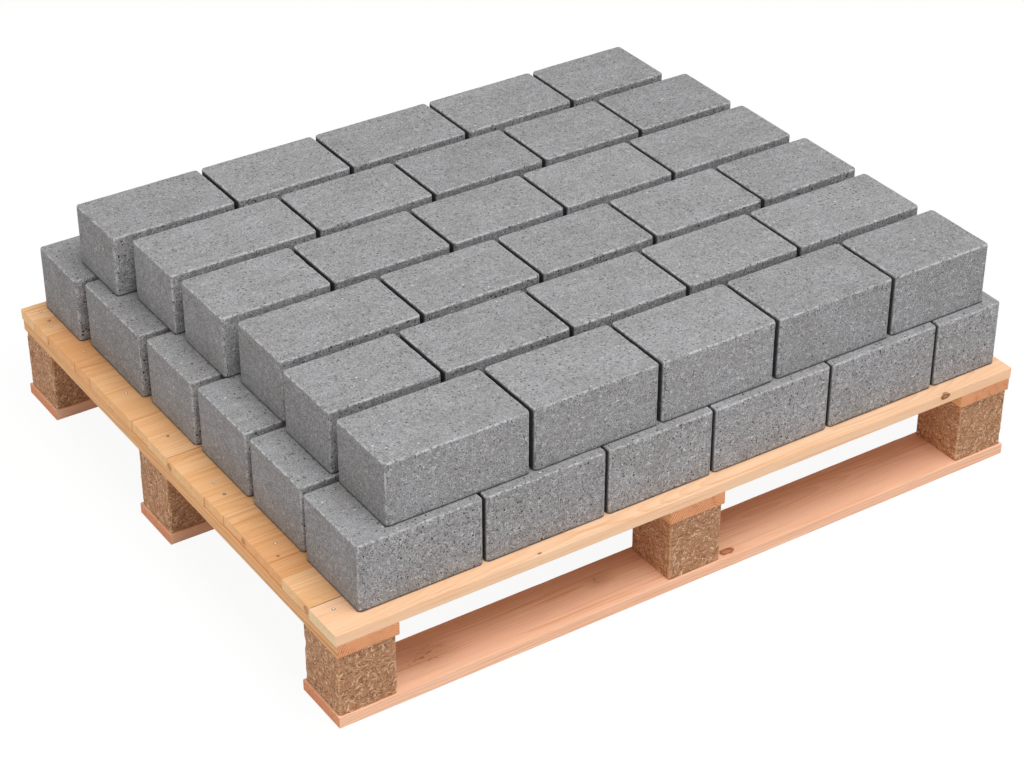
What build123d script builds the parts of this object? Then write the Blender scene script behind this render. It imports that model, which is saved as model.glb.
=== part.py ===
# Four-way wooden block pallet loaded with two layers of plain concrete ballast blocks.
# Millimetres. +X runs along the pallet's long side, +Y from front to rear, +Z up.
# The origin is the middle of the footprint, on the ground.
import os

from build123d import *

# Pallet footprint
pallet_length = 1200
pallet_width = 1000

# Bottom boards, along the long side, with the chip blocks standing on them
bottom_board_width = 100
bottom_board_thickness = 18

# Pressed chip blocks, in three columns of three
chip_block_length = 92
chip_block_width = 94
chip_block_height = 102
chip_block_inset = 1
chip_block_corner = 3
middle_row_offset = 50

# Stringers across the chip blocks, under the ends and the middle of the deck boards
stringer_width = 97
stringer_thickness = 21
stringer_inset = 2

# Deck boards, along the long side, nailed down at uneven ends with two open gaps
deck_thickness = 18
close_gap = 1
open_gap = 5
end_stagger = 5
board_chamfer = 1

# Share of the deck's width that each board and the gap behind it take, front to rear
deck_board_shares = (
    0.075, 0.076, 0.039, 0.082, 0.053, 0.056, 0.117,
    0.061, 0.053, 0.143, 0.052, 0.096, 0.048, 0.049,
)
open_gap_boards = (1, 7)

# Share of the end stagger by which each board's left end is set back, front to rear
end_setback_shares = (
    0.0, 0.4, 0.7, 0.9, 1.0, 0.8, 0.4,
    0.55, 0.75, 0.6, 0.5, 0.35, 0.1, 0.0,
)

# Concrete blocks of several lengths: the standard one, a longer and a shorter kind of
# it, two long ones for the ends of the upper rows, and a cut one that fills the lower rows
block_length = 200
short_block_length = 182
medium_block_length = 210
long_block_length = 231
longest_block_length = 248
cut_block_length = 124

# Widths of the blocks: most of the lower layer, its broad fifth row, and the narrow
# blocks of its last row and of the whole upper layer
block_width = 144
broad_block_width = 184
narrow_block_width = 128

# The lower layer's blocks are the taller ones. Their arrises are broken, less at the foot
lower_block_height = 110
upper_block_height = 102
block_chamfer = 4
block_foot_chamfer = 2

# Layers: rows run along the long side, and margins are measured from the deck's
# front and left edges
lower_row_gap = 14
lower_end_joint = 4
lower_front_margin = 26
lower_left_margin = 51
upper_row_gap = 19
upper_end_joint = 6
upper_front_margin = 41
upper_left_margin = 106

# Widths of the lower layer's rows, front to rear
lower_row_widths = (block_width, block_width, block_width, block_width, broad_block_width, narrow_block_width)

# Block lengths of each row, left to right, rows front to rear. The joints break
# over the row in front and over the layer below
lower_front_bond = (
    block_length, block_length, short_block_length, medium_block_length, block_length, cut_block_length,
)
lower_bond = (block_length, block_length, block_length, block_length, block_length, cut_block_length)
lower_bonds = (lower_front_bond, lower_bond[::-1], lower_bond, lower_bond[::-1], lower_bond, lower_bond[::-1])
upper_bonds = (
    (long_block_length, medium_block_length, block_length, medium_block_length, short_block_length),
    (short_block_length, medium_block_length, block_length, block_length, long_block_length),
    (long_block_length, block_length, block_length, block_length, short_block_length),
    (short_block_length, block_length, block_length, block_length, long_block_length),
    (longest_block_length, block_length, block_length, short_block_length, short_block_length),
    (medium_block_length, block_length, medium_block_length, block_length, short_block_length),
)

# How far each row's left end lies from its margin, as shares of the row slip
row_slip = 35
lower_slip_shares = (0.0, 0.1, 0.1, 0.03, -0.14, -0.43)
upper_slip_shares = (0.0, 0.0, 0.23, -0.17, -0.34, -1.0)

# Heights of the seats, from the ground up
chip_block_seat = bottom_board_thickness
stringer_seat = chip_block_seat + chip_block_height
deck_seat = stringer_seat + stringer_thickness
lower_layer_seat = deck_seat + deck_thickness
upper_layer_seat = lower_layer_seat + lower_block_height

# Edges of the deck and centre lines of the pallet's columns and rows
left_edge = -pallet_length / 2
front_edge = -pallet_width / 2
stringer_spread = pallet_length / 2 - stringer_inset - stringer_width / 2
chip_block_spread = pallet_length / 2 - stringer_inset - chip_block_inset - chip_block_length / 2
bottom_board_spread = pallet_width / 2 - bottom_board_width / 2
rows = {"front": -bottom_board_spread, "middle": middle_row_offset, "rear": bottom_board_spread}
columns = {"left": -1, "middle": 0, "right": 1}

os.makedirs("parts", exist_ok=True)


def save(piece, name):
    """Labels a finished piece and writes it as the node of that name."""
    piece.part.label = name
    export_step(piece.part, f"parts/{name}.step")


def board(name, seat, thickness, corner, length, width):
    """Makes one sawn board from its front left corner, with all its arrises eased."""
    with BuildPart() as plank:
        with BuildSketch(Plane.XY.offset(seat)):
            with Locations(corner):
                Rectangle(length, width, align=(Align.MIN, Align.MIN))
        extrude(amount=thickness)
        chamfer(plank.edges(), length=board_chamfer)
    save(plank, name)


def chip_block(name, centre):
    """Makes one pressed chip block, standing on its bottom board, with broken corners."""
    with BuildPart() as chip:
        with BuildSketch(Plane.XY.offset(chip_block_seat)):
            with Locations(centre):
                Rectangle(chip_block_length, chip_block_width)
        extrude(amount=chip_block_height)
        chamfer(chip.edges().filter_by(Axis.Z), length=chip_block_corner)
    save(chip, name)


def block_row(name, corner, lengths, size, end_joint):
    """Makes one row of separate concrete blocks, end to end from its front left corner."""
    left, front, seat = corner
    width, height = size
    with BuildPart() as row:
        with BuildSketch(Plane.XY.offset(seat)):
            for length in lengths:
                with Locations((left, front)):
                    Rectangle(length, width, align=(Align.MIN, Align.MIN))
                left += length + end_joint
        extrude(amount=height)
        foot_edges = row.edges().group_by(Axis.Z)[0]
        chamfer(row.edges() - foot_edges, length=block_chamfer)
        chamfer(row.edges().group_by(Axis.Z)[0], length=block_foot_chamfer)
    save(row, name)


def block_layer(label, first_corner, joints, slip_shares, sizes, bonds):
    """Makes a layer of rows from front to rear, each with its own size and block lengths."""
    left, front, seat = first_corner
    end_joint, row_gap = joints
    for index, (size, lengths) in enumerate(zip(sizes, bonds)):
        corner = (left + row_slip * slip_shares[index], front, seat)
        block_row(f"{label}_block_row_{index + 1}", corner, lengths, size, end_joint)
        front += size[0] + row_gap


# Bottom boards
for row_name, row_y in rows.items():
    corner = (left_edge, row_y - bottom_board_width / 2)
    board(f"bottom_board_{row_name}", 0, bottom_board_thickness, corner, pallet_length, bottom_board_width)

# Chip blocks and stringers
for column_name, side in columns.items():
    for row_name, row_y in rows.items():
        chip_block(f"chip_block_{row_name}_{column_name}", (side * chip_block_spread, row_y))
    corner = (side * stringer_spread - stringer_width / 2, front_edge)
    board(f"stringer_{column_name}", stringer_seat, stringer_thickness, corner, stringer_width, pallet_width)

# Deck boards
board_front = front_edge
board_count = len(deck_board_shares)
for index, share in enumerate(deck_board_shares):
    number = index + 1
    strip = share * pallet_width
    gap_behind = 0 if number == board_count else open_gap if number in open_gap_boards else close_gap
    left_setback = end_stagger * end_setback_shares[index]
    right_setback = end_stagger * end_setback_shares[-number]
    corner = (left_edge + left_setback, board_front)
    length = pallet_length - left_setback - right_setback
    board(f"deck_board_{number:02d}", deck_seat, deck_thickness, corner, length, strip - gap_behind)
    board_front += strip

# Concrete blocks
lower_sizes = [(width, lower_block_height) for width in lower_row_widths]
upper_sizes = [(narrow_block_width, upper_block_height)] * len(upper_bonds)
lower_corner = (left_edge + lower_left_margin, front_edge + lower_front_margin, lower_layer_seat)
upper_corner = (left_edge + upper_left_margin, front_edge + upper_front_margin, upper_layer_seat)
lower_joints = (lower_end_joint, lower_row_gap)
upper_joints = (upper_end_joint, upper_row_gap)
block_layer("lower", lower_corner, lower_joints, lower_slip_shares, lower_sizes, lower_bonds)
block_layer("upper", upper_corner, upper_joints, upper_slip_shares, upper_sizes, upper_bonds)
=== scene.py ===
# Pallet of ballast blocks: the finish of every piece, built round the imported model, in metres
import math
import random

import bmesh
import bpy
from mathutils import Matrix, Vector


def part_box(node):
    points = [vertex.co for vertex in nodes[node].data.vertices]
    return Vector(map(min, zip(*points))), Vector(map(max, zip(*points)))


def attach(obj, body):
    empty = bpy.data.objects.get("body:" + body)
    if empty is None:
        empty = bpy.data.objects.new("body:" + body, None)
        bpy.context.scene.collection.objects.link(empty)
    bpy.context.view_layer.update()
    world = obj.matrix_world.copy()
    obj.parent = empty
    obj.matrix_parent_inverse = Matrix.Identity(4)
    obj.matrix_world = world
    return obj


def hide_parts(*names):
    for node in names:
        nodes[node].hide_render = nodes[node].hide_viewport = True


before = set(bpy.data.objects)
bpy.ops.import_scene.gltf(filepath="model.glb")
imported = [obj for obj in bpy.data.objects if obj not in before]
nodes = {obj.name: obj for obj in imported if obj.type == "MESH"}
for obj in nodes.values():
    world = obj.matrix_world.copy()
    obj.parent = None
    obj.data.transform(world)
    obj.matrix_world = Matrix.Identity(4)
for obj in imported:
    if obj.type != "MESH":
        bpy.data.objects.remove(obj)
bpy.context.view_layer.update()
mm = 0.001
print("frame loaded:", len(nodes), "nodes")


# Camera at the photograph's place

photoView = {
    "azimuth": -33.39,                   # degrees, and 0 looks along +Y
    "elevation": 33.11,
    "distance": 3.8784,
    "target": (-0.0710, -0.1215, 0.150),
    "lens": 89.57,                       # millimetres, on a sensor 36 mm wide
}


def addCamera(view):
    turn, rise = math.radians(view["azimuth"]), math.radians(view["elevation"])
    back = Vector((math.sin(turn) * math.cos(rise), -math.cos(turn) * math.cos(rise), math.sin(rise)))
    data = bpy.data.cameras.new("photoCamera")
    data.lens = view["lens"]
    camera = bpy.data.objects.new("photoCamera", data)
    camera.location = Vector(view["target"]) + back * view["distance"]
    camera.rotation_mode = "QUATERNION"
    camera.rotation_quaternion = (-back).to_track_quat("-Z", "Y")
    bpy.context.scene.collection.objects.link(camera)
    bpy.context.scene.camera = camera


addCamera(photoView)
print("camera placed")


# Node trees written as expressions

class Wire:                              # an output socket that Python arithmetic can use
    def __init__(self, graph, socket):
        self.graph, self.socket = graph, socket

    def __add__(self, other):
        return self.graph.maths("ADD", self, other)

    def __sub__(self, other):
        return self.graph.maths("SUBTRACT", self, other)

    def __rsub__(self, other):
        return self.graph.maths("SUBTRACT", other, self)

    def __mul__(self, other):
        return self.graph.maths("MULTIPLY", self, other)

    def __truediv__(self, other):
        return self.graph.maths("DIVIDE", self, other)

    def __rtruediv__(self, other):
        return self.graph.maths("DIVIDE", other, self)

    def __abs__(self):
        return self.graph.maths("ABSOLUTE", self)

    __radd__ = __add__
    __rmul__ = __mul__


class Graph:
    def __init__(self, tree):
        self.tree = tree

    def add(self, kind, settings={}, values={}, out=0):
        node = self.tree.nodes.new(kind)
        for name, setting in settings.items():
            setattr(node, name, setting)
        for name, value in values.items():
            for one in value if isinstance(value, list) else [value]:
                if isinstance(one, Wire):
                    self.tree.links.new(one.socket, node.inputs[name])
                elif one is not None:
                    node.inputs[name].default_value = one
        if isinstance(out, tuple):
            return [Wire(self, node.outputs[each]) for each in out]
        return Wire(self, node.outputs[out]) if node.outputs else node

    def maths(self, operation, *values):
        return self.add("ShaderNodeMath", {"operation": operation}, dict(enumerate(values)))

    def least(self, a, b):
        return self.maths("MINIMUM", a, b)

    def most(self, a, b):
        return self.maths("MAXIMUM", a, b)

    def vector(self, operation, *values, out=0):
        return self.add("ShaderNodeVectorMath", {"operation": operation}, dict(enumerate(values)), out)

    def scaled(self, a, factor):         # a vector or a colour times a number
        return self.add("ShaderNodeVectorMath", {"operation": "SCALE"}, {0: a, "Scale": factor})

    def split(self, a):
        return self.add("ShaderNodeSeparateXYZ", {}, {0: a}, (0, 1, 2))

    def join(self, x, y, z):
        return self.add("ShaderNodeCombineXYZ", {}, {0: x, 1: y, 2: z})

    def noise(self, place, scale, detail=2.0, roughness=0.5, distortion=0.0):
        values = {"Vector": place, "Scale": scale, "Detail": detail, "Roughness": roughness}
        return self.add("ShaderNodeTexNoise", {}, {**values, "Distortion": distortion})

    def fade(self, value, low, high):    # 0 below low, 1 above high, smooth between
        values = {0: value, 1: low, 2: high}
        return self.add("ShaderNodeMapRange", {"interpolation_type": "SMOOTHSTEP"}, values)

    def blend(self, factor, a, b):       # two colours
        settings = {"data_type": "RGBA", "clamp_factor": True}
        return self.add("ShaderNodeMix", settings, {0: factor, 6: a, 7: b}, 2)

    def cells(self, place, scale):       # distance to the nearest cell's heart, and its own colour
        return self.add("ShaderNodeTexVoronoi", {}, {"Vector": place, "Scale": scale}, (0, 1))

    def place(self, shift=(0, 0, 0)):    # the point on the piece, in metres
        return self.vector("ADD", self.add("ShaderNodeTexCoord", {}, {}, "Object"), shift)

    def attribute(self, name):
        return self.add("ShaderNodeAttribute", {"attribute_name": name}, {}, "Fac")

    def facing(self):                    # the way the surface points, as x, y and z
        return self.split(self.add("ShaderNodeNewGeometry", {}, {}, "Normal"))


def solid(*rgb):                         # a colour that nothing shows through
    return (*rgb, 1.0)


def newMaterial(name, build, look):      # build returns colour, roughness, bump height in metres
    material = bpy.data.materials.new(name)
    material.use_nodes = True
    material.node_tree.nodes.clear()
    graph = Graph(material.node_tree)
    colour, roughness, height = build(graph, look)
    normal = graph.add("ShaderNodeBump", {}, {"Strength": look["bump"], "Distance": 1.0, "Height": height})
    values = {"Base Color": colour, "Roughness": roughness, "Normal": normal}
    values["Specular IOR Level"] = look["gloss"]
    surface = graph.add("ShaderNodeBsdfPrincipled", {}, values)
    graph.add("ShaderNodeOutputMaterial", {}, {"Surface": surface})
    return material


# Concrete: plain grey cast blocks with fine grain, pale specks, pores painted near black as shade inside
# them, arrises paler from wear and painted highlight, and painted shade in end joints and along the foot

concrete = {
    "grey": 0.297,
    "grainSize": 2.2 * mm,
    "grainDepth": 1.6,                   # how far the grain moves the grey, as a share
    "warm": (1.0, 0.99, 0.99),           # tints of the broad clouds
    "cool": (0.987, 0.985, 1.014),
    "mottleSize": 9 * mm,
    "mottleDepth": 0.5,
    "cloudSize": 62.5 * mm,
    "cloudDepth": 0.35,
    "streakScale": (16, 120, 120),       # repeats for each metre along x, y and z
    "streakDepth": 0.3,
    "crinkleSize": 5 * mm,               # wavy lines in the cement skin, mostly on the sides
    "crinkleDepth": 0.64,
    "pores": (6.6 * mm, 0.9 * mm, 1.9 * mm, 0.85),       # spacing, least and largest radius, share filled
    "pinholes": (4.2 * mm, 0.6 * mm, 1.2 * mm, 0.6),
    "specks": (5.4 * mm, 0.6 * mm, 1.4 * mm, 0.5),
    "stones": (13 * mm, 0.8 * mm, 1.8 * mm, 0.45),
    # pores and pinholes are painted near black: painted shade inside the holes
    "poreShadeGrey": 0.02,
    "speckGrey": 0.66,
    "stoneGrey": 0.72,
    "onTop": {"crinkle": 0.25, "pores": 0.91, "specks": 0.8, "stones": 1.0},       # shares of each left there
    "onEnds": {"crinkle": 0.6, "pores": 0.4, "specks": 0.6, "stones": 0.6},
    "wearAndHighlightWidth": 3.5 * mm,               # pale strip along the arrises, partly rubbed wear and partly painted highlight
    "wearAndHighlightGrey": 0.57,
    "crumbScale": 150,                   # how finely that strip is broken up
    "nickScale": (330, 23, 40),          # short dark upright nicks below the long arrises
    "nickReach": (6 * mm, 16 * mm),
    "nickDepth": 0.42,
    "paintedShadeGrey": 0.22,                   # how light the painted shade leaves the faces inside end joints and along the foot, as a share
    "toneSpread": 0.12,                  # how much one block differs from the next
    "bump": 0.8,
    "gloss": 0.25,
}


def spots(graph, shift, size):           # round spots scattered in a share of the cells
    spacing, small, large, cover = size
    reach, kind = graph.cells(graph.place(shift), 1 / spacing)
    pick, girth, strength = graph.split(kind)
    radius = (small + (large - small) * girth * girth) / spacing
    inside = 1 - graph.fade(reach / radius, 0.7, 1.15)
    return inside * graph.maths("LESS_THAN", pick, cover) * (0.6 + 0.4 * strength)


def concreteLook(graph, look):
    place = graph.place()
    tone, edge, joint = graph.attribute("tone"), graph.attribute("edge"), graph.attribute("joint")
    towardEnd, towardSide, up = graph.facing()
    upright = 1 - abs(up)
    endOn = graph.fade(abs(towardEnd), 0.5, 0.9)

    def left(part):                      # all of it on the long sides, less on the top and the ends
        onTop, onEnds = look["onTop"][part], look["onEnds"][part]
        return (onTop + (1 - onTop) * upright) * (1 - (1 - onEnds) * endOn)

    grain = graph.noise(place, 1 / look["grainSize"], 2.0, 0.6)
    mottle = graph.noise(place, 1 / look["mottleSize"], 3.0, 0.6)
    cloud = graph.noise(place, 1 / look["cloudSize"], 3.0, 0.55)
    streak = graph.noise(graph.vector("MULTIPLY", place, look["streakScale"]), 1.0, 2.0)
    wave = graph.noise(place, 1 / look["crinkleSize"], 1.0, 0.5, 0.6)
    lightLine = 1 - graph.fade(abs(wave - 0.5), 0.0, 0.035)
    darkLine = 1 - graph.fade(abs(wave - 0.61), 0.0, 0.03)
    patch = 0.3 + 1.4 * graph.fade(mottle, 0.35, 0.65)
    crinkle = (lightLine - 0.9 * darkLine) * patch * left("crinkle")
    grey = look["grey"] * (1 + look["grainDepth"] * (grain - 0.5) + look["crinkleDepth"] * crinkle)
    cloudy = look["cloudDepth"] * (cloud - 0.5) + look["streakDepth"] * (streak - 0.5)
    grey = grey * (1 + look["mottleDepth"] * (mottle - 0.5) + cloudy)
    grey = grey * (1 + look["toneSpread"] * (tone - 0.5))

    pinhole = spots(graph, (0.2, 0.6, 0.4), look["pinholes"])
    hollow = graph.most(spots(graph, (0, 0, 0), look["pores"]), 0.85 * pinhole) * left("pores")
    speck = spots(graph, (0.7, 0.3, 0.1), look["specks"]) * left("specks")
    stone = spots(graph, (0.5, 0.1, 0.9), look["stones"]) * left("stones")
    crumbs = graph.noise(place, look["crumbScale"], 3.0, 0.65)
    # pale strip along the arrises: rubbed wear and painted highlight
    wearAndHighlight = (1 - graph.fade(edge, 0.3 * look["wearAndHighlightWidth"], look["wearAndHighlightWidth"])) * graph.fade(crumbs, 0.44, 0.57)
    drag = graph.noise(graph.vector("MULTIPLY", place, look["nickScale"]), 1.0, 2.0, 0.6)
    nick = graph.fade(drag, 0.58, 0.68) * (1 - graph.fade(edge, *look["nickReach"]))
    nick = nick * graph.fade(abs(towardSide), 0.4, 0.8)
    grey = grey + speck * 0.85 * (look["speckGrey"] - grey)
    grey = grey + stone * 0.8 * (look["stoneGrey"] - grey)
    # arrises paled: wear and painted highlight
    grey = grey + wearAndHighlight * 0.75 * (look["wearAndHighlightGrey"] - grey)
    grey = grey * (1 - look["nickDepth"] * nick)
    # painted shade: pores and pinholes darkened towards near black
    grey = grey + hollow * (look["poreShadeGrey"] - grey)
    # painted shade inside end joints, and a painted shadow along the foot
    grey = grey * (1 - joint * (1 - look["paintedShadeGrey"]))
    tint = graph.blend(graph.fade(cloud, 0.3, 0.7), solid(*look["warm"]), solid(*look["cool"]))
    height = 0.25 * mm * grain + 0.5 * mm * mottle - 1.0 * mm * hollow
    return graph.scaled(tint, grey), 0.94 - 0.1 * speck, height


# Wood: growth rings round a pith that wanders along the board, so that the ends show the same rings

wood = {
    "early": (0.88, 0.515, 0.258),       # pale spring wood
    "late": (0.69, 0.315, 0.112),        # darker summer wood
    "flush": (0.80, 0.425, 0.185),       # where the board is a little redder
    "ringWidth": 3.2 * mm,
    "ringDepth": 0.75,
    "endDepth": 0.55,                    # how strongly the rings show on the sawn ends
    "endTint": (1.22, 1.22, 1.20),       # the colour of the sawn ends, against the sides
    "palest": 0.97,                      # no wood is paler than this
    "streakWidth": 7 * mm,
    "streakDepth": 0.6,
    "fibreScale": (14, 520),             # repeats for each metre, along and across the grain
    "blushScale": (1.7, 28),             # broad redder patches
    "blotchScale": (110, 220),           # ragged outlines of the knots
    "fleckScale": (85, 190),
    "sawScale": (90, 90, 900),           # the saw's marks on the ends, along x, y and z
    "pithDepth": 45 * mm,                # how far below the board the pith runs
    "pithWander": 22 * mm,
    "knotCore": (0.36, 0.135, 0.048),
    "knotRim": (0.15, 0.045, 0.018),
    "freckles": [],                      # loose groups of dark flecks: along, across and how far they spread
    "bump": 0.6,
    "gloss": 0.3,
}


def woodLook(graph, look):
    shift = look["shift"]
    place = graph.place()
    x, y, z = graph.split(place)
    along, across = (x, y) if look["grainAxis"] == 0 else (y, x)
    sway = graph.noise(graph.join(along * 1.3 + shift, across * 3 + shift, z * 3), 1.0, 2.0)
    dip = graph.noise(graph.join(along * 2.1 - shift, across * 5, z * 5 + shift), 1.0, 1.0)
    offset = across - look["pithAcross"] + look["pithWander"] * 2 * (sway - 0.5)
    below = z - look["pithHeight"] + look["pithWander"] * 1.6 * (dip - 0.5)
    radius = graph.vector("LENGTH", graph.join(offset, below, 0.0), out=1)
    knot, knotRim, halo = 0.0, 0.0, 0.0
    long, wide = look["blotchScale"]
    blotch = graph.noise(graph.join(along * long, across * wide, z * wide), 1.0, 2.0) - 0.5
    for knotAlong, knotAcross, knotHeight, knotSize in look["knots"]:
        rise = 0.0 if knotHeight is None else z - knotHeight
        away = graph.join((along - knotAlong) * 0.55, across - knotAcross, rise)
        reach = graph.vector("LENGTH", away, out=1) / knotSize + 0.7 * blotch
        push = 1 - graph.fade(reach, 0.0, 4.0)
        radius = radius + push * push * knotSize * 1.6
        knot = graph.most(knot, 1 - graph.fade(reach, 0.85, 1.2))
        knotRim = graph.most(knotRim, graph.fade(reach, 0.45, 0.95) * (1 - graph.fade(reach, 1.0, 1.3)))
        halo = graph.most(halo, push * 0.6)
    long, wide = look["fibreScale"]
    fibre = graph.noise(graph.join(along * long, across * wide, z * wide + shift), 1.0, 3.0, 0.65)
    wide = 1 / look["streakWidth"]
    streak = graph.noise(graph.join(along * 3, across * wide + shift, z * wide), 1.0, 3.0, 0.62)
    long, wide = look["blushScale"]
    blush = graph.noise(graph.join(along * long, across * wide + shift, z * wide), 1.0, 3.0, 0.6)
    ends = graph.fade(abs(graph.facing()[look["grainAxis"]]), 0.6, 0.8)
    ring = graph.maths("FRACT", radius / look["ringWidth"] + 0.5 * (fibre - 0.5))
    late = ring * ring * (1 - graph.fade(ring, 0.93, 1.0))
    depth = look["ringDepth"] + ends * (look["endDepth"] - look["ringDepth"])
    amount = depth * late * (0.35 + 1.1 * blush) + look["streakDepth"] * graph.fade(streak, 0.50, 0.68)
    colour = graph.blend(amount, solid(*look["early"]), solid(*look["late"]))
    colour = graph.blend(0.75 * graph.fade(blush, 0.42, 0.66), colour, solid(*look["flush"]))
    colour = graph.scaled(colour, 1 + 0.30 * (fibre - 0.5) + 0.12 * (streak - 0.5))
    colour = graph.blend(0.5 * halo, colour, solid(*look["late"]))
    colour = graph.blend(0.85 * knot * (1 - 0.3 * ends), colour, solid(*look["knotCore"]))
    colour = graph.blend(0.8 * knotRim * (1 - 0.85 * ends), colour, solid(*look["knotRim"]))
    for freckleAlong, freckleAcross, spread in look["freckles"]:
        away = graph.join((along - freckleAlong) * 0.5, across - freckleAcross, 0.0)
        near = 1 - graph.fade(graph.vector("LENGTH", away, out=1), 0.1 * spread, spread)
        long, wide = look["fleckScale"]
        fleck = graph.noise(graph.join(along * long, across * wide, shift), 1.0, 3.0, 0.7)
        stain = 0.35 * near + 0.6 * graph.fade(fleck + 0.2 * near, 0.70, 0.84)
        colour = graph.blend(stain, colour, solid(*look["freckleColour"]))
    sawn = graph.noise(graph.vector("MULTIPLY", place, look["sawScale"]), 1.0, 2.0)
    endColour = graph.vector("MULTIPLY", colour, look["endTint"])
    endColour = graph.vector("MINIMUM", endColour, (look["palest"],) * 3)
    colour = graph.blend(ends, colour, graph.scaled(endColour, 1 - 0.2 * (sawn - 0.5)))
    height = 0.18 * mm * fibre - 0.12 * mm * late + ends * 0.35 * mm * sawn
    return colour, 0.62 + 0.16 * fibre, height


# Pressed chips: brown core with paler slivers lying every way and dark gaps between them

chips = {
    "core": (0.45, 0.22, 0.112),
    "flake": (0.90, 0.64, 0.41),
    "gap": (0.09, 0.030, 0.010),
    "corner": (0.74, 0.44, 0.23),        # rubbed upright corners
    "flakeLength": 10 * mm,
    "flakeWidth": 2.1 * mm,
    "bend": 16 * mm,                     # how far the slivers stray from straight lines
    "bendScale": 40,
    "turns": (0.35, 1.2, 2.0, 2.75),     # directions that the slivers lie in, in radians
    "rubbedWidth": (1.5 * mm, 4.5 * mm),
    "strandScale": 420,                  # repeats for each metre
    "flakeStrandScale": 700,
    "patchScale": 60,
    "bump": 0.9,
    "gloss": 0.3,
}


def chipLook(graph, look):
    x, y, z = graph.split(graph.place())
    swirl = graph.noise(graph.place(), look["bendScale"], 1.0)
    lift = graph.noise(graph.place((0.4, 0.9, 0.2)), look["bendScale"], 1.0)
    flat = x + y + look["bend"] * (swirl - 0.5)          # runs round the block's sides
    rise = z + look["bend"] * (lift - 0.5)
    pale, dark = 0.0, 0.0
    for turn in look["turns"]:
        lengthwise = flat * math.cos(turn) + rise * math.sin(turn)
        sideways = rise * math.cos(turn) - flat * math.sin(turn)
        layer = graph.join(lengthwise / look["flakeLength"] + turn, sideways / look["flakeWidth"], turn * 7)
        sliver = graph.noise(layer, 1.0, 1.0, 0.4)
        pale = graph.most(pale, graph.fade(sliver, 0.62, 0.74))
        dark = graph.most(dark, graph.fade(1 - sliver, 0.64, 0.75))
    strand = graph.noise(graph.place(), look["strandScale"], 3.0, 0.7)
    patch = graph.noise(graph.place((0.1, 0.5, 0.8)), look["patchScale"], 2.0)
    colour = graph.blend(pale * (0.35 + 0.9 * patch), solid(*look["core"]), solid(*look["flake"]))
    colour = graph.blend(0.6 * dark, colour, solid(*look["gap"]))
    rubbed = (1 - graph.fade(graph.attribute("edge"), *look["rubbedWidth"])) * graph.fade(strand, 0.35, 0.6)
    colour = graph.blend(0.6 * rubbed, colour, solid(*look["corner"]))
    endOn = graph.fade(abs(graph.facing()[0]), 0.4, 0.8)
    colour = graph.scaled(colour, (1 + 0.6 * (strand - 0.5)) * (1 + 0.2 * endOn))
    height = 0.7 * mm * pale - 0.9 * mm * dark + 0.3 * mm * strand
    return colour, 0.8 - 0.12 * pale, height


def flakeLook(graph, look):              # the raised flakes, each in its own shade
    tone = graph.attribute("tone")
    strand = graph.noise(graph.place(), look["flakeStrandScale"], 2.0, 0.6)
    dark = graph.blend(0.35 + 0.65 * graph.fade(tone, 0.0, 0.35), solid(*look["gap"]), solid(*look["core"]))
    colour = graph.blend(graph.fade(tone, 0.5, 1.0), dark, solid(*look["flake"]))
    return graph.scaled(colour, 1 + 0.6 * (strand - 0.5)), 0.7 - 0.15 * tone, 0.1 * mm * strand


# Nails: small heads, some bright and some dull, each on a wider disc painted dark as the shadow in the hollow
# that the hammer left

nailFinish = {
    "bright": (0.90, 0.86, 0.80),
    "dull": (0.42, 0.25, 0.14),
    # painted shadow round each head, where the hammer pressed the wood down
    "dentShadowColour": (0.26, 0.12, 0.05),
    "scuffScale": 900,
    "bump": 0.5,
    "gloss": 0.5,
}


def nailLook(graph, look):
    tone, rim = graph.attribute("tone"), graph.attribute("rim")
    scuff = graph.noise(graph.place(), look["scuffScale"], 3.0, 0.6)
    colour = graph.blend(graph.fade(tone, 0.12, 0.25), solid(*look["dull"]), solid(*look["bright"]))
    # painted shadow round the head
    colour = graph.blend(rim, graph.scaled(colour, 0.8 + 0.4 * scuff), solid(*look["dentShadowColour"]))
    return colour, 0.35 + 0.3 * scuff, 0.1 * mm * scuff


# Geometry trees

def newTree(name, inputs):               # inputs: name to socket kind
    tree = bpy.data.node_groups.new(name, "GeometryNodeTree")
    tree.interface.new_socket("Geometry", in_out="OUTPUT", socket_type="NodeSocketGeometry")
    for label, kind in {"Geometry": "Geometry", **inputs}.items():
        tree.interface.new_socket(label, in_out="INPUT", socket_type="NodeSocket" + kind)
    graph = Graph(tree)
    start = tree.nodes.new("NodeGroupInput")
    given = {socket.name: Wire(graph, socket) for socket in start.outputs if socket.name}
    return graph, given


def endTree(graph, geometry, material):
    real = graph.add("GeometryNodeRealizeInstances", {}, {"Geometry": geometry})
    finished = graph.add("GeometryNodeSetMaterial", {}, {"Geometry": real, "Material": material})
    graph.add("NodeGroupOutput", {}, {0: finished})
    return graph.tree


def named(graph, name, kind="FLOAT_VECTOR"):
    return graph.add("GeometryNodeInputNamedAttribute", {"data_type": kind}, {"Name": name})


def keep(graph, geometry, name, value, kind="FLOAT", domain="POINT"):
    settings = {"data_type": kind, "domain": domain}
    values = {"Geometry": geometry, "Name": name, "Value": value}
    return graph.add("GeometryNodeStoreNamedAttribute", settings, values)


def draw(graph, low, high, seed, kind="FLOAT"):      # a random value for each element
    slots = {"FLOAT": (2, 3, 1), "FLOAT_VECTOR": (0, 1, 0)}[kind]
    values = {slots[0]: low, slots[1]: high, "Seed": seed}
    return graph.add("FunctionNodeRandomValue", {"data_type": kind}, values, slots[2])


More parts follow.
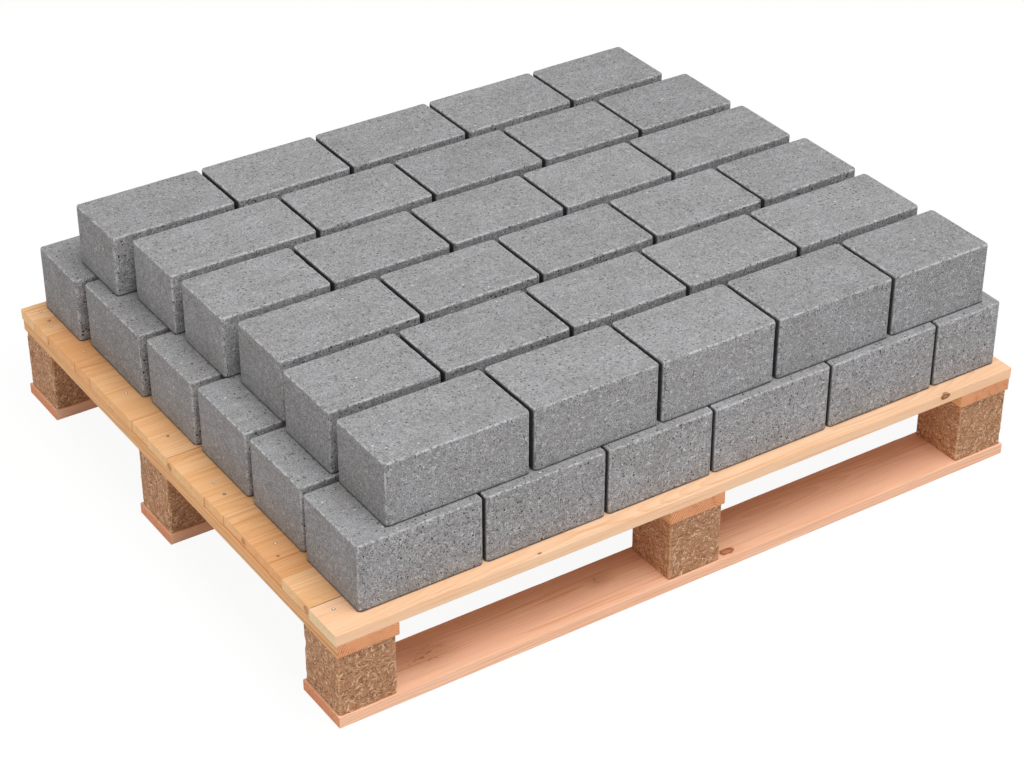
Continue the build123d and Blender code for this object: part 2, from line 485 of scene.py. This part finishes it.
arris = {
    "cellStep": 0.8 * mm,                # the first mesh cell at an arris, and how much each next one grows
    "cellGrowth": 0.12 * mm,
    "roughScale": 90,                    # of the uneven radius
    "chipScale": 42,
    "chipRim": 0.07,                     # how softly a chip begins
    "footReach": (4 * mm, 18 * mm),      # over this height the arrises change from the foot's radius
    # painted shadow along the foot: full below the first height, gone above the second, with a ragged top
    "footShade": (2.5 * mm, 6 * mm),
    "footRagged": 3 * mm,
    "raggedScale": 160,
    "jointShadeDepth": (1.5 * mm, 6 * mm),    # from the arris to where the painted shade inside end joints is full
    "tiny": 0.001 * mm,                  # keeps a division from zero
}


def boxTree(look):                       # rectangular blocks with rounded, worn and chipped arrises
    graph, given = newTree("wornBlocks", {
        "Cells X": "Int", "Cells Y": "Int", "Cells Z": "Int", "Edge Cells": "Int",
        "Arris Radius": "Float", "Radius Spread": "Float", "Level Arris": "Float", "Foot Arris": "Float",
        "Corner Radius": "Float", "Foot Shade": "Float",
        "Chip Radius": "Float", "Chip Cover": "Float", "Relief": "Float", "Relief Size": "Float",
        "Seed": "Int", "Material": "Material",
    })
    cells = [given["Cells X"], given["Cells Y"], given["Cells Z"]]
    counts = {"Vertices X": cells[0] + 1, "Vertices Y": cells[1] + 1, "Vertices Z": cells[2] + 1}
    cube = graph.add("GeometryNodeMeshCube", {}, {"Size": (2, 2, 2), **counts})
    cube = keep(graph, cube, "share", graph.add("GeometryNodeInputPosition"), "FLOAT_VECTOR")
    half = named(graph, "half")
    values = {"Points": given["Geometry"], "Instance": cube, "Scale": half}
    blocks = graph.add("GeometryNodeInstanceOnPoints", {}, values)
    blocks = keep(graph, blocks, "tone", draw(graph, 0.0, 1.0, given["Seed"]), "FLOAT", "INSTANCE")
    blocks = graph.add("GeometryNodeRealizeInstances", {}, {"Geometry": blocks})
    share, place = named(graph, "share"), graph.add("GeometryNodeInputPosition")
    centre = graph.vector("SUBTRACT", place, graph.vector("MULTIPLY", share, half))

    # Grid lines crowd towards the arrises
    edgeCells = given["Edge Cells"]
    step, growth = look["cellStep"], look["cellGrowth"]
    zone = step * edgeCells + growth * edgeCells * edgeCells
    spread = []
    for shareOf, halfOf, count in zip(graph.split(share), graph.split(half), cells):
        fromEnd = (1 - abs(shareOf)) * count / 2
        near = graph.least(fromEnd, edgeCells)
        far = graph.most(fromEnd - edgeCells, 0.0) / (count / 2 - edgeCells)
        inset = step * near + growth * near * near + far * (halfOf - zone)
        spread.append(graph.maths("SIGN", shareOf) * (halfOf - inset))
    spot = graph.join(*spread)
    world = graph.vector("ADD", centre, graph.vector("MULTIPLY", share, half))

    # The arris radius varies, and grows where a chip has come off
    drift = graph.vector("ADD", world, graph.join(given["Seed"] * 0.37, 0.0, 0.0))
    unevenness = 1 + given["Radius Spread"] * 2 * (graph.noise(drift, look["roughScale"], 2.0) - 0.5)
    cover = given["Chip Cover"]
    chipped = graph.fade(graph.noise(drift, look["chipScale"], 1.0), cover, cover + look["chipRim"])
    radius = given["Arris Radius"] * unevenness + given["Chip Radius"] * chipped
    fromFoot = graph.split(spot)[2] + graph.split(half)[2]
    radius = radius * (1 - (1 - given["Foot Arris"]) * (1 - graph.fade(fromFoot, *look["footReach"])))
    wide = graph.most(given["Corner Radius"], radius)
    core = graph.vector("SUBTRACT", half, graph.join(wide, wide, radius * given["Level Arris"]))
    held = graph.vector("MAXIMUM", graph.vector("MINIMUM", spot, core), graph.scaled(core, -1.0))
    x, y, z = graph.split(graph.vector("SUBTRACT", spot, held))
    swing = graph.vector("LENGTH", graph.join(x, y, 0.0), out=1)
    turned = graph.least((wide - radius) / graph.most(swing, look["tiny"]), 1.0)
    held = graph.vector("ADD", held, graph.join(x * turned, y * turned, 0.0))
    proud = graph.vector("SUBTRACT", spot, held)
    length = graph.vector("LENGTH", proud, out=1)
    pull = graph.least(radius / graph.most(length, look["tiny"]), 1.0)
    relief = given["Relief"] * graph.noise(drift, 1 / given["Relief Size"], 2.0, 0.6)
    inward = graph.scaled(graph.vector("NORMALIZE", proud), -1 * relief)
    moved = graph.vector("ADD", graph.vector("ADD", held, graph.scaled(proud, pull)), inward)

    # Distance from the nearest arris but those at the foot, and painted shade on the faces inside end joints
    # and along the foot
    gaps = graph.split(graph.vector("SUBTRACT", half, graph.vector("ABSOLUTE", spot)))
    fromTop = graph.split(half)[2] - graph.split(spot)[2]
    low, high = graph.least(gaps[0], gaps[1]), graph.most(gaps[0], gaps[1])
    blocks = keep(graph, blocks, "edge", graph.most(low, graph.least(high, fromTop)))
    endOn, inner = graph.split(share)[0], graph.split(named(graph, "inner"))
    within = graph.maths("LESS_THAN", endOn, -0.99) * inner[0]
    within = within + graph.maths("GREATER_THAN", endOn, 0.99) * inner[1]
    # painted shade inside end joints fades in from the arris; painted shadow in a ragged band along the foot
    deep = graph.fade(graph.least(gaps[1], fromTop), *look["jointShadeDepth"])
    ragged = look["footRagged"] * graph.noise(drift, look["raggedScale"], 2.0)
    foot = (1 - graph.fade(fromFoot + ragged, *look["footShade"])) * given["Foot Shade"]
    blocks = keep(graph, blocks, "joint", graph.most(within * deep, foot))
    values = {"Geometry": blocks, "Position": graph.vector("ADD", centre, moved)}
    blocks = graph.add("GeometryNodeSetPosition", {}, values)
    blocks = graph.add("GeometryNodeSetShadeSmooth", {}, {0: blocks})
    return endTree(graph, blocks, given["Material"])


def flakeTree():                         # thin bent chips, a little proud of the pressed blocks' sides
    graph, given = newTree("raisedFlakes", {
        "Density": "Float", "Length": "Float", "Width": "Float", "Thickness": "Float",
        "Bend": "Float", "Corner": "Float", "Seed": "Int", "Material": "Material",
    })
    up = graph.split(graph.add("GeometryNodeInputNormal"))[2]
    inward = graph.maths("GREATER_THAN", named(graph, "edge", "FLOAT"), given["Corner"])
    sides = graph.maths("LESS_THAN", abs(up), 0.4) * inward
    values = {"Mesh": given["Geometry"], "Density": given["Density"] * sides, "Seed": given["Seed"]}
    points, turned = graph.add("GeometryNodeDistributePointsOnFaces", {}, values, ("Points", "Rotation"))
    values = {"Size": (1, 1, 1), "Vertices X": 4, "Vertices Y": 2, "Vertices Z": 2}
    chip = graph.add("GeometryNodeMeshCube", {}, values)
    x, y, z = graph.split(graph.add("GeometryNodeInputPosition"))
    narrow = 1 - 2.2 * x * x
    values = {"Geometry": chip, "Position": graph.join(x, y * narrow, z * narrow + given["Bend"] * x * x)}
    chip = graph.add("GeometryNodeSetPosition", {}, values)
    spin = draw(graph, (-0.06, -0.06, 0.0), (0.06, 0.06, 6.28), given["Seed"] + 1, "FLOAT_VECTOR")
    spin = graph.add("FunctionNodeEulerToRotation", {}, {0: spin})
    turned = graph.add("FunctionNodeRotateRotation", {"rotation_space": "LOCAL"}, {0: turned, 1: spin})
    size = draw(graph, 0.45, 1.25, given["Seed"] + 2)
    girth = draw(graph, 0.5, 1.3, given["Seed"] + 3)
    scale = graph.join(given["Length"] * size, given["Width"] * girth, given["Thickness"])
    values = {"Points": points, "Instance": chip, "Rotation": turned, "Scale": scale}
    flakes = graph.add("GeometryNodeInstanceOnPoints", {}, values)
    flakes = keep(graph, flakes, "tone", draw(graph, 0.0, 1.0, given["Seed"] + 4), "FLOAT", "INSTANCE")
    return endTree(graph, flakes, given["Material"])


def nailTree():                          # round heads, each a little tilted on a disc painted dark as the shadow of the hammer's hollow
    graph, given = newTree("nailHeads", {
        "Radius": "Float", "Height": "Float", "Tilt": "Float", "Seed": "Int", "Material": "Material",
    })
    radius, height = given["Radius"], given["Height"]

    def disc(low, high, deep, rim):
        girths = {"Radius Top": radius * high, "Radius Bottom": radius * low}
        cone = graph.add("GeometryNodeMeshCone", {}, {"Vertices": 14, **girths, "Depth": height * deep})
        return keep(graph, cone, "rim", rim)

    # the head, and a wider thin disc painted dark as the shadow round it
    head = [disc(1.0, 0.75, 1.0, 0.0), disc(1.45, 1.3, 0.25, 1.0)]
    head = graph.add("GeometryNodeJoinGeometry", {}, {0: head})
    tilt = given["Tilt"]
    least, most = graph.join(tilt * -1, tilt * -1, 0.0), graph.join(tilt, tilt, 6.28)
    spin = draw(graph, least, most, given["Seed"], "FLOAT_VECTOR")
    size = draw(graph, 0.85, 1.15, given["Seed"] + 1)
    values = {"Points": given["Geometry"], "Instance": head, "Rotation": spin}
    heads = graph.add("GeometryNodeInstanceOnPoints", {}, {**values, "Scale": graph.join(size, size, 1.0)})
    heads = keep(graph, heads, "tone", draw(graph, 0.0, 1.0, given["Seed"] + 2), "FLOAT", "INSTANCE")
    return endTree(graph, heads, given["Material"])


def grow(name, tree, base, values, slotName, *stoodFor):     # runs a tree and keeps the plain result
    piece = bpy.data.objects.new(name, base)
    bpy.context.scene.collection.objects.link(piece)
    modifier = piece.modifiers.new(tree.name, "NODES")
    modifier.node_group = tree
    for item in tree.interface.items_tree:
        if item.in_out == "INPUT" and item.name in values:
            modifier[item.identifier] = values[item.name]
    depsgraph = bpy.context.evaluated_depsgraph_get()
    evaluated = piece.evaluated_get(depsgraph)
    mesh = bpy.data.meshes.new_from_object(evaluated, preserve_all_data_layers=True, depsgraph=depsgraph)
    piece.modifiers.remove(modifier)
    piece.data = mesh
    mesh.name = name
    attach(piece, "root")
    if stoodFor:
        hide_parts(*stoodFor)
    return piece


def pointMesh(points, **vectors):        # loose points, each with its named vectors
    mesh = bpy.data.meshes.new("points")
    mesh.from_pydata([tuple(point) for point in points], [], [])
    for name, values in vectors.items():
        attribute = mesh.attributes.new(name, "FLOAT_VECTOR", "POINT")
        attribute.data.foreach_set("vector", [part for value in values for part in value])
    return mesh


def solidBoxes(name):                    # centre and half size of each separate solid in a CAD node
    shell = bmesh.new()
    shell.from_mesh(nodes[name].data)
    bmesh.ops.remove_doubles(shell, verts=shell.verts, dist=0.01 * mm)
    left, boxes = set(shell.verts), []
    while left:
        reached = [left.pop()]
        for vertex in reached:
            fresh = {edge.other_vert(vertex) for edge in vertex.link_edges} & left
            left -= fresh
            reached.extend(fresh)
        low = Vector([min(v.co[axis] for v in reached) for axis in range(3)])
        high = Vector([max(v.co[axis] for v in reached) for axis in range(3)])
        boxes.append(((low + high) / 2, (high - low) / 2))
    shell.free()
    return sorted(boxes, key=lambda box: tuple(box[0]))


def boxPoints(name, frontward=0.0, rearward=0.0):     # a CAD node's solids as points, a little widened
    boxes = solidBoxes(name)
    inner = [(index > 0, index < len(boxes) - 1, 0) for index in range(len(boxes))]
    centres = [centre + Vector((0, (rearward - frontward) / 2, 0)) for centre, half in boxes]
    halves = [half + Vector((0, (rearward + frontward) / 2, 0)) for centre, half in boxes]
    return pointMesh(centres, half=halves, inner=inner)


# Concrete block rows

blockShape = {
    "Cells X": 32, "Cells Y": 26, "Cells Z": 22, "Edge Cells": 6,
    "Arris Radius": 3.4 * mm,
    "Radius Spread": 0.4,
    "Level Arris": 1.0,
    "Foot Arris": 0.45,
    "Corner Radius": 7.0 * mm,           # of the upright arrises
    # strength of the painted shadow along the foot
    "Foot Shade": 0.85,
    "Chip Radius": 4.5 * mm,
    "Chip Cover": 0.66,                  # higher leaves fewer chips
    "Relief": 0.5 * mm,
    "Relief Size": 40 * mm,
    "Seed": 11,
}
castSwell = 0.8 * mm                     # how far the rough long sides stand past the solid's

blockTree = boxTree(arris)
blockShape["Material"] = newMaterial("concrete", concreteLook, concrete)
blockRows = sorted(name for name in nodes if "block_row" in name)
for index, name in enumerate(blockRows):
    seed = blockShape["Seed"] + index
    base = boxPoints(name, castSwell, castSwell)
    grow(name + "_worn", blockTree, base, {**blockShape, "Seed": seed}, "concrete", name)
print("concrete rows:", len(blockRows))


# Pressed chip blocks and their raised flakes

chipShape = {
    "Cells X": 30, "Cells Y": 30, "Cells Z": 30, "Edge Cells": 5,
    "Arris Radius": 3.0 * mm,
    "Radius Spread": 0.5,
    "Level Arris": 0.0,                  # top and bottom stay flat against the boards
    "Foot Arris": 1.0,
    "Corner Radius": 3.0 * mm,
    "Foot Shade": 0.0,
    "Chip Radius": 4.0 * mm,
    "Chip Cover": 0.55,
    "Relief": 0.8 * mm,
    "Relief Size": 7 * mm,
    "Seed": 50,
}
flakeShape = {
    "Density": 15000.0,                  # flakes for each square metre
    "Length": 6.5 * mm,
    "Width": 1.4 * mm,
    "Thickness": 0.4 * mm,
    "Bend": 0.6,
    "Corner": 2.5 * mm,                  # flakes keep this far from the block's corners
    "Seed": 80,
}

flakesTree = flakeTree()
chipShape["Material"] = newMaterial("pressedChips", chipLook, chips)
flakeShape["Material"] = newMaterial("raisedFlakes", flakeLook, chips)
chipBlocks = sorted(name for name in nodes if name.startswith("chip_block"))
for index, name in enumerate(chipBlocks):
    seed = chipShape["Seed"] + index
    core = grow(name + "_core", blockTree, boxPoints(name), {**chipShape, "Seed": seed}, "chipboard", name)
    seed = flakeShape["Seed"] + 9 * index
    grow(name + "_flakes", flakesTree, core.data.copy(), {**flakeShape, "Seed": seed}, "chipboard")
print("chip blocks:", len(chipBlocks))


# Boards: sawn, with thin uneven arrises, and each with a wood of its own

boardShape = {
    "Cells X": 60, "Cells Y": 12, "Cells Z": 8, "Edge Cells": 3,
    "Arris Radius": 0.7 * mm,
    "Radius Spread": 0.8,
    "Level Arris": 1.0,
    "Foot Arris": 1.0,
    "Corner Radius": 0.7 * mm,
    "Foot Shade": 0.0,
    "Chip Radius": 1.6 * mm,
    "Chip Cover": 0.68,
    "Relief": 0.25 * mm,
    "Relief Size": 30 * mm,
    "Seed": 200,
}
pale, deep = (1.04, 1.10, 1.20), (0.93, 0.86, 0.80)
deckTones = {2: pale, 3: deep, 4: deep, 8: pale, 11: deep, 12: deep, 14: pale}      # by number, front to rear
frontBoard = {"early": (0.96, 0.655, 0.43), "late": (0.84, 0.44, 0.22), "flush": (0.95, 0.58, 0.345)}
boardKnots = {                           # along, across, height where it shows on the front, and radius
    "deck_board_01": [(0.466, -0.4985, 0.1545, 4.5 * mm), (-0.272, -0.4955, None, 1.6 * mm)],
    "deck_board_02": [(-0.597, -0.4175, 0.149, 6.5 * mm)],
    "deck_board_04": [(-0.597, -0.2350, 0.150, 4.5 * mm)],
    "deck_board_07": [(-0.597, -0.0140, 0.149, 6.0 * mm)],
    "bottom_board_front": [(0.067, -0.487, None, 6 * mm)],
}
woods = {                                # what differs from the plain wood, for each kind of board
    "deck_board": {"grainAxis": 0, "slot": "deck_wood"},
    "stringer": {
        "grainAxis": 1, "slot": "stringer_wood", "early": (0.95, 0.56, 0.26), "late": (0.62, 0.24, 0.09),
        "flush": (0.90, 0.47, 0.20), "endTint": (0.88, 0.75, 0.82), "endDepth": 1.7, "ringWidth": 4.4 * mm,
    },
    "bottom_board": {
        "grainAxis": 0, "slot": "bottom_wood", "early": (0.96, 0.60, 0.41), "late": (0.73, 0.355, 0.19),
        "flush": (0.90, 0.52, 0.34), "endTint": (0.92, 0.63, 0.48), "streakWidth": 6 * mm,
        "streakDepth": 0.7, "ringDepth": 0.7, "ringWidth": 2.4 * mm, "freckleColour": (0.42, 0.17, 0.07),
        "knotCore": (0.50, 0.18, 0.068),
        "knotRim": (0.24, 0.075, 0.028),
        "freckles": [(-0.43, -0.45, 38 * mm), (-0.13, -0.44, 20 * mm)],
    },
}
pithAside = {"stringer_middle": 50 * mm, "stringer_right": 60 * mm}      # slanting rings on these ends
knotInset = (120 * mm, 8 * mm)           # from the ends and the long edges, where a knot's place is drawn
seamShare = 0.32                         # how much of the gap beside it each deck board closes


def gapAt(number):                       # the gap behind a deck board, by its number
    names = [f"deck_board_{each:02d}" for each in (number, number + 1)]
    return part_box(names[1])[0].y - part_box(names[0])[1].y if set(names) <= set(nodes) else 0.0


def boardLook(name, kind, number, dice):     # one board's wood: its tone, its pith, its rings and its knots
    look = {**wood, **woods[kind], **(frontBoard if number == 1 else {})}
    tone, tints = dice.uniform(0.97, 1.02), deckTones.get(number, (1, 1, 1))
    for part in ("early", "late", "flush"):
        look[part] = tuple(min(value * tint * tone, look["palest"]) for value, tint in zip(look[part], tints))
    low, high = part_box(name)
    along = look["grainAxis"]
    across = 1 - along
    width = high[across] - low[across]
    look["shift"] = dice.uniform(0, 40)
    look["pithAcross"] = (low[across] + high[across]) / 2 + dice.uniform(-0.5, 0.5) * width
    look["pithAcross"] += pithAside.get(name, 0.0)
    look["pithHeight"] = low.z - look["pithDepth"] * dice.uniform(0.4, 1.3)
    look["ringWidth"] = look["ringWidth"] * dice.uniform(0.75, 1.4)
    look["knots"] = boardKnots.get(name)
    if not look["knots"]:
        alongPlace = dice.uniform(low[along] + knotInset[0], high[along] - knotInset[0])
        acrossPlace = dice.uniform(low[across] + knotInset[1], high[across] - knotInset[1])
        look["knots"] = [(alongPlace, acrossPlace, None, dice.uniform(3, 6) * mm)]
    return look


dice = random.Random(7)
boards = sorted(name for name in nodes if name.startswith(tuple(woods)))
for index, name in enumerate(boards):
    kind = next(kind for kind in woods if name.startswith(kind))
    number = int(name[-2:]) if kind == "deck_board" else -1
    look = boardLook(name, kind, number, dice)
    shape = {**boardShape, "Seed": boardShape["Seed"] + index}
    shape["Material"] = newMaterial(name + "_wood", woodLook, look)
    if look["grainAxis"] == 1:
        shape["Cells X"], shape["Cells Y"] = shape["Cells Y"], shape["Cells X"]
    base = boxPoints(name, seamShare * gapAt(number - 1), seamShare * gapAt(number))
    grow(name + "_sawn", blockTree, base, shape, look["slot"], name)
print("boards sawn:", len(boards))


# Nail heads where they show: beside the load, over the stringers

nails = {
    "Radius": 1.9 * mm,
    "Height": 0.6 * mm,
    "Tilt": 0.12,
    "Seed": 5,
    "leftSeen": {                        # board: how far in from the left end, and share of its width
        1: [(28 * mm, 0.76)], 4: [(30 * mm, 0.44), (19 * mm, 0.10)], 6: [(27 * mm, 0.80)],
        7: [(29 * mm, 0.19)], 8: [(28 * mm, 0.80)], 10: [(28 * mm, 0.51)], 12: [(26 * mm, 0.21)],
        13: [(22 * mm, 0.82), (17 * mm, 0.44)], 14: [(23 * mm, 0.49)],
    },
    "rearInset": 24 * mm,                # from the rear edge, on the middle and right stringers
    "rearSpread": 22 * mm,
}


def nailPlaces(look):
    places = []
    for number, spots in look["leftSeen"].items():
        low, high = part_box(f"deck_board_{number:02d}")
        places += [(low.x + inset, low.y + share * (high.y - low.y), high.z) for inset, share in spots]
    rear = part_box("deck_board_14")[1]
    for stringer in ("stringer_middle", "stringer_right"):
        low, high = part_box(stringer)
        middle = (low.x + high.x) / 2
        for side in (-1, 1):
            places.append((middle + side * look["rearSpread"], rear.y - look["rearInset"], rear.z))
    return places


nails["Material"] = newMaterial("nailSteel", nailLook, nailFinish)
grow("deck_nails", nailTree(), pointMesh(nailPlaces(nails)), nails, "deck_wood")
print("nails driven")


# Floor and light

studio = {
    "floorSize": 14.0,
    "floorGrey": 0.78,                   # what the object sees
    "shadowShare": 0.07,                 # how much of the object's shadow the pale floor shows
    "skyGrey": 0.50,
    "horizonShare": 0.25,                # how much paler the studio's walls are than its ceiling
    "warmSide": (1.0, 0.965, 0.93),      # the walls on the left, and those on the right
    "coolSide": (0.975, 0.985, 1.02),
    "keyStrength": 1.22,
    "keyAngle": 38.0,                    # degrees across, so the shadows are soft
    "keyFrom": (0.10, -0.29, 0.95),
    "panelPower": 29.0,                  # a soft panel above the near corner
    "panelSize": 1.6,
    "panelPlace": (-0.30, -1.35, 2.9),
}


def seenDirectly(graph):                 # 1 for the camera, and for what it sees in metal and glass
    rays = ("Is Camera Ray", "Is Glossy Ray", "Is Transmission Ray")
    camera, glossy, through = graph.add("ShaderNodeLightPath", {}, {}, rays)
    return graph.most(camera, graph.most(glossy, through))


def addFloor(look):
    size = look["floorSize"]
    mesh = bpy.data.meshes.new("floor")
    corners = [(-size, -size, 0), (size, -size, 0), (size, size, 0), (-size, size, 0)]
    mesh.from_pydata([(x, y, -0.2 * mm) for x, y, z in corners], [], [(0, 1, 2, 3)])
    floor = bpy.data.objects.new("floor", mesh)
    bpy.context.scene.collection.objects.link(floor)
    material = bpy.data.materials.new("paleFloor")
    material.use_nodes = True
    material.node_tree.nodes.clear()
    graph = Graph(material.node_tree)
    seen = seenDirectly(graph)
    grain = graph.noise(graph.place(), 30, 2.0)
    grey = look["floorGrey"] + seen * (1 - look["floorGrey"]) - 0.01 * grain * (1 - seen)
    matt = graph.add("ShaderNodeBsdfDiffuse", {}, {"Color": graph.join(grey, grey, grey)})
    glow = graph.add("ShaderNodeEmission", {}, {"Color": solid(1, 1, 1), "Strength": 1.0})
    mixed = graph.add("ShaderNodeMixShader", {}, {0: seen * (1 - look["shadowShare"]), 1: matt, 2: glow})
    graph.add("ShaderNodeOutputMaterial", {}, {"Surface": mixed})
    mesh.materials.append(material)


def addLight(look):
    world = bpy.data.worlds.new("studio")
    bpy.context.scene.world = world
    world.use_nodes = True
    world.node_tree.nodes.clear()
    graph = Graph(world.node_tree)
    seen = seenDirectly(graph)
    x, y, z = graph.split(graph.add("ShaderNodeTexCoord", {}, {}, "Generated"))
    grey = look["skyGrey"] * (1 + look["horizonShare"] * (1 - graph.fade(abs(z), 0.0, 0.6)))
    side = graph.most(graph.fade(x, -1.0, 1.0), seen)
    walls = graph.blend(side, solid(*look["warmSide"]), solid(*look["coolSide"]))
    colour = graph.blend(seen, walls, solid(1, 1, 1))
    strength = grey + seen * (1 - grey)
    sky = graph.add("ShaderNodeBackground", {}, {"Color": colour, "Strength": strength})
    graph.add("ShaderNodeOutputWorld", {}, {"Surface": sky})
    addLamp("key", "SUN", look["keyStrength"], look["keyFrom"]).angle = math.radians(look["keyAngle"])
    addLamp("panel", "AREA", look["panelPower"], look["panelPlace"]).size = look["panelSize"]


def addLamp(name, kind, energy, place):  # looks at the middle of the pallet
    lamp = bpy.data.lights.new(name, kind)
    lamp.energy = energy
    holder = bpy.data.objects.new(name, lamp)
    holder.location = place
    holder.rotation_mode = "QUATERNION"
    holder.rotation_quaternion = Vector(place).to_track_quat("Z", "Y")
    bpy.context.scene.collection.objects.link(holder)
    return lamp


addFloor(studio)
addLight(studio)
bpy.context.scene.view_settings.view_transform = "Standard"
print("floor and light set")
